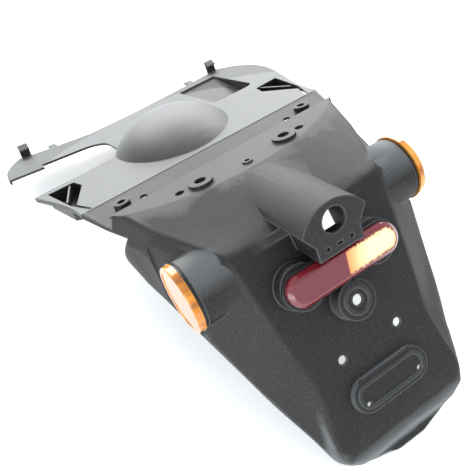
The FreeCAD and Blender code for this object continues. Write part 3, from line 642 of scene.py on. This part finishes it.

# Oblong rear reflector: red acrylic with a broad bevelled edge, in two fields of prisms that are
# turned differently. The right-hand field throws the light straight back, which is painted on it as a
# pale yellow glow given off as emission; the left-hand one doesn't.
rearReflector = {
    "length": 106.0, "height": 26.0, "corners": 64, "wall": 4.2, "wallEdge": (0.4, 0.5),
    "bevel": (2.9, 2.7), "faceEdge": (0.5, 0.3), "face": (2.0, 0.0), "thick": 8.0,
    "red": "93202c", "dullRed": "7c323e", "darkRed": "4a0610", "paintedGlow": "fff0b4", "paintedGlowEdge": "ff7a2a",
    "splitMm": 1.2, "splitLean": -0.25, "splitSoftMm": (-0.3, 0.6), "prismMm": 2.2, "reliefMm": 0.5,
    "fringeMm": 1.6, "raggedMm": 2.0, "fieldEdgeMm": (3.6, 5.4), "coreMm": (-1.0, 7.5), "coreSlow": 0.35,
    "paintedGlowStrength": 0.5,
    "carrierLength": 110.0, "carrierHeight": 30.0, "carrierThick": 3.0, "carrierEdge": 0.5,
}


def redAcrylic(faceMiddle):
    # clear red acrylic, injection moulded: smooth outside, rows of prisms behind
    look = rearReflector
    material, tree, shader = newMaterial("redAcrylic", IOR=1.49, Roughness=0.15, Coat_Weight=0.7,
                                         Coat_Roughness=0.06, Coat_IOR=1.49)
    place = addNode(tree, "ShaderNodeTexCoord").outputs["Object"]
    pitch = math.atan2(-plateOut.y, plateOut.z)
    face = addNode(tree, "ShaderNodeMapping", {"Vector": place}, vector_type="TEXTURE",
                   Location=faceMiddle, Rotation=(pitch, 0.0, 0.0)).outputs["Vector"]
    spot = addNode(tree, "ShaderNodeSeparateXYZ", {"Vector": face})
    prism = addNode(tree, "ShaderNodeTexVoronoi", {"Vector": face}, distance="CHEBYCHEV",
                    Scale=perMetre(look["prismMm"]), Randomness=0.0)

    # how far inside the painted glowing field: right of the leaning split, and off the oblong's edge
    lean = addNode(tree, "ShaderNodeMath",
                   {0: spot.outputs["Y"], 1: look["splitLean"], 2: spot.outputs["X"]},
                   operation="MULTIPLY_ADD").outputs["Value"]
    past = addNode(tree, "ShaderNodeMath", {0: lean, 1: look["splitMm"] * millimetre},
                   operation="SUBTRACT").outputs["Value"]
    straightHalf = (look["length"] - look["height"]) / 2 * millimetre
    beyond = addNode(tree, "ShaderNodeMath", {0: spot.outputs["X"], 1: straightHalf},
                     operation="SUBTRACT").outputs["Value"]
    beyond = addNode(tree, "ShaderNodeMath", {0: beyond, 1: 0.0}, operation="MAXIMUM").outputs["Value"]
    offAxis = addNode(tree, "ShaderNodeCombineXYZ", {"X": beyond, "Y": spot.outputs["Y"]}).outputs["Vector"]
    offAxis = addNode(tree, "ShaderNodeVectorMath", {0: offAxis}, operation="LENGTH").outputs["Value"]
    inward = addNode(tree, "ShaderNodeMath", {0: look["height"] / 2 * millimetre, 1: offAxis},
                     operation="SUBTRACT").outputs["Value"]
    fringe = addNode(tree, "ShaderNodeTexNoise", {"Vector": face},
                     Scale=perMetre(look["fringeMm"])).outputs["Fac"]
    ragged = addNode(tree, "ShaderNodeMapRange", {"Value": fringe}, To_Min=-look["raggedMm"] * millimetre,
                     To_Max=look["raggedMm"] * millimetre).outputs["Result"]
    inward = addNode(tree, "ShaderNodeMath", {0: inward, 1: ragged}, operation="ADD").outputs["Value"]
    slow = addNode(tree, "ShaderNodeMath", {0: past, 1: look["coreSlow"]},
                   operation="MULTIPLY").outputs["Value"]
    nearest = addNode(tree, "ShaderNodeMath", {0: slow, 1: inward}, operation="MINIMUM").outputs["Value"]
    masks = []
    for distance, reach in ((inward, "fieldEdgeMm"), (past, "splitSoftMm"), (nearest, "coreMm")):
        begin, full = look[reach]
        masks.append(addNode(tree, "ShaderNodeMapRange", {"Value": distance}, From_Min=begin * millimetre,
                             From_Max=full * millimetre).outputs["Result"])
    onFace, pastSplit, core = masks
    paintedGlowField = addNode(tree, "ShaderNodeMath", {0: onFace, 1: pastSplit},
                     operation="MULTIPLY").outputs["Value"]

    # dark bevel, dull left field, and the right-hand field painted glowing pale yellow with an orange
    # fringe
    edgeRed = addNode(tree, "ShaderNodeMix", {"Factor": fringe}, data_type="RGBA",
                      A=hexColour(look["darkRed"]), B=hexColour(look["red"]))
    colour = addNode(tree, "ShaderNodeMix", {"Factor": onFace, "A": edgeRed.outputs[2]}, data_type="RGBA",
                     B=hexColour(look["dullRed"]))
    paintedGlow = addNode(tree, "ShaderNodeMix", {"Factor": core}, data_type="RGBA",
                   A=hexColour(look["paintedGlowEdge"]), B=hexColour(look["paintedGlow"]))
    colour = addNode(tree, "ShaderNodeMix",
                     {"Factor": paintedGlowField, "A": colour.outputs[2], "B": paintedGlow.outputs[2]}, data_type="RGBA")
    tree.links.new(colour.outputs[2], shader.inputs["Base Color"])
    # painted glow: the right-hand field's colour is also given off as emission, though it is no lamp
    tree.links.new(colour.outputs[2], shader.inputs["Emission Color"])
    paintedGlowStrength = addNode(tree, "ShaderNodeMath", {0: paintedGlowField, 1: look["paintedGlowStrength"]}, operation="MULTIPLY")
    tree.links.new(paintedGlowStrength.outputs["Value"], shader.inputs["Emission Strength"])
    bump = addNode(tree, "ShaderNodeBump", {"Height": prism.outputs["Distance"]}, invert=True,
                   Strength=0.35, Distance=look["reliefMm"] * millimetre)
    tree.links.new(bump.outputs["Normal"], shader.inputs["Normal"])
    return material


def oblongBlank(name, length, height):
    blank = roundBlank(name, height / 2, rearReflector["corners"])
    stretchBlank(blank, (length - height) / 2)
    return blank


def rearLens():
    size = rearReflector
    lens = oblongBlank("rearLens", size["length"], size["height"])
    drawUp(size["wall"])
    for step in ("wallEdge", "bevel", "faceEdge", "face"):
        stepIn(*size[step])
    closePiece(lens)
    return lens


def rearCarrier():
    size = rearReflector
    carrier = oblongBlank("rearCarrier", size["carrierLength"], size["carrierHeight"])
    drawUp(size["carrierThick"] - size["carrierEdge"])
    stepIn(size["carrierEdge"], size["carrierEdge"])
    closePiece(carrier)
    return carrier


rearParts = ((rearCarrier(), "red_base", "carrierThick", "reflector_base"),
             (rearLens(), "red_lens", "thick", "red_lens"))
for piece, node, thick, slotName in rearParts:
    middle = nodeMiddle(node)
    putInPlace(piece, middle - plateOut * (rearReflector[thick] / 2 * millimetre), plateOut)
    standFor(piece, node, blackPlastic if node == "red_base" else redAcrylic(middle))
print("rear reflector ready")

# Studs with their thread, and the nuts: zinc-plated steel
fixings = {"radius": 2.5, "length": 12.0, "pitch": 0.8, "root": 2.05, "corners": 24, "plain": 1.2,
           "rearX": 36.0, "rearSeat": 1.5, "sideSeat": 1.5}


def zincPlatedSteel():
    # zinc-plated steel: soft pale metal, a little cloudy, with faint yellow where the plating is old
    material, tree, shader = newMaterial("zincPlatedSteel", Metallic=1.0)
    place = addNode(tree, "ShaderNodeTexCoord").outputs["Object"]
    cloud = addNode(tree, "ShaderNodeTexNoise", {"Vector": place}, Scale=perMetre(3.0),
                    Detail=4.0).outputs["Fac"]
    colour = addNode(tree, "ShaderNodeMix", {"Factor": cloud}, data_type="RGBA",
                     A=hexColour("b9bbbd"), B=hexColour("a39c8a"))
    tree.links.new(colour.outputs[2], shader.inputs["Base Color"])
    rough = addNode(tree, "ShaderNodeMapRange", {"Value": cloud}, To_Min=0.28, To_Max=0.5)
    tree.links.new(rough.outputs["Result"], shader.inputs["Roughness"])
    return material


def threadedStud():
    size = fixings
    stud = roundBlank("reflectorStuds", size["radius"], size["corners"])
    drawUp(size["plain"])
    turns = int((size["length"] - size["plain"]) / size["pitch"])
    pinch = size["root"] / size["radius"]
    for turn in range(turns):
        for scale in (pinch, 1 / pinch):
            drawUp(size["pitch"] / 2)
            bpy.ops.transform.resize(value=(scale, scale, 1.0), center_override=(0.0, 0.0, 0.0))
    left = size["length"] - size["plain"] - turns * size["pitch"]
    stepIn(size["radius"] - size["root"], left)
    closePiece(stud)
    return stud


steel = zincPlatedSteel()
studSeats = []
for hand, outward in (("_right", 1), ("_left", -1)):
    inward = -trayRight * outward
    seat = nodeMiddle("side_base" + hand) + inward * fixings["sideSeat"] * millimetre
    studSeats.append((seat, inward))
for side in (1, -1):
    seat = nodeMiddle("red_base") - plateOut * fixings["rearSeat"] * millimetre
    studSeats.append((seat + trayRight * side * fixings["rearX"] * millimetre, -plateOut))
studMaster = threadedStud()
studs = [studMaster] + [copyPiece(studMaster, f"stud{number}") for number in range(1, len(studSeats))]
for stud, (seat, inward) in zip(studs, studSeats):
    putInPlace(stud, seat, inward)
for stud in studs:
    stud.select_set(True)
bpy.context.view_layer.objects.active = studMaster
bpy.ops.object.join()
standFor(studMaster, "reflector_studs", steel)
setMaterial(frame["nodes"]["reflector_nuts"], steel)
print("fixings ready")

# Studio: pale floor that glows a little, white surroundings, a broad soft light behind that makes level
# faces shine, and a weak one low at the left that picks out the left flank
studio = {"floorSize": 12.0, "floor": "fafbfb", "floorGlow": 0.34, "world": "f6fbff", "worldStrength": 0.97,
          "backPower": 60.0, "backSize": (2.6, 1.3), "backFrom": (0.6, 1.45, 0.75),
          "frontPower": 9.0, "frontSize": (1.2, 0.7), "frontFrom": (-1.3, -0.8, 0.45),
          "aim": (0.0, 0.0, 0.1)}


def paleFloor():
    bpy.ops.object.select_all(action="DESELECT")
    bpy.ops.mesh.primitive_plane_add(size=studio["floorSize"], location=(0, 0, 0))
    floor = bpy.context.object
    floor.name = "paleFloor"
    material, tree, shader = newMaterial("paleStudioPaper", Roughness=0.8)
    shader.inputs["Base Color"].default_value = hexColour(studio["floor"])
    shader.inputs["Emission Color"].default_value = hexColour(studio["floor"])
    shader.inputs["Emission Strength"].default_value = studio["floorGlow"]
    setMaterial(floor, material)


def softLight(name):
    bpy.ops.object.select_all(action="DESELECT")
    bpy.ops.object.light_add(type="AREA", location=studio[name + "From"])
    lamp = bpy.context.object
    lamp.name = name + "Light"
    lamp.data.shape = "RECTANGLE"
    lamp.data.size, lamp.data.size_y = studio[name + "Size"]
    lamp.data.energy = studio[name + "Power"]
    aim = Vector(studio["aim"]) - Vector(studio[name + "From"])
    lamp.rotation_euler = aim.to_track_quat("-Z", "Y").to_euler()


paleFloor()
softLight("back")
softLight("front")
world = bpy.data.worlds.new("whiteSurroundings")
bpy.context.scene.world = world
world.use_nodes = True
background = world.node_tree.nodes["Background"]
background.inputs["Color"].default_value = hexColour(studio["world"])
background.inputs["Strength"].default_value = studio["worldStrength"]
bpy.context.scene.view_settings.view_transform = "Standard"
print("studio ready")

# Camera where the photograph was taken from, on the moulding's axes
view = {"stand": (-197.4, -464.4, 207.9), "right": (0.8216, -0.4729, -0.3184),
        "down": (-0.4879, -0.2943, -0.8218), "lens": 47.49, "sensor": 36.0}


def photoCamera():
    bpy.ops.object.select_all(action="DESELECT")
    bpy.ops.object.camera_add()
    camera = bpy.context.object
    right = alongPart(*view["right"])
    up = -alongPart(*view["down"])
    back = right.cross(up).normalized()
    up = back.cross(right)
    turn = Matrix((right, up, back)).transposed().to_4x4()
    camera.matrix_world = Matrix.Translation(onPart(*view["stand"])) @ turn
    camera.data.sensor_width = view["sensor"]
    camera.data.lens = view["lens"]
    camera.data.clip_start = 0.01
    bpy.context.scene.camera = camera


photoCamera()
print("camera ready")
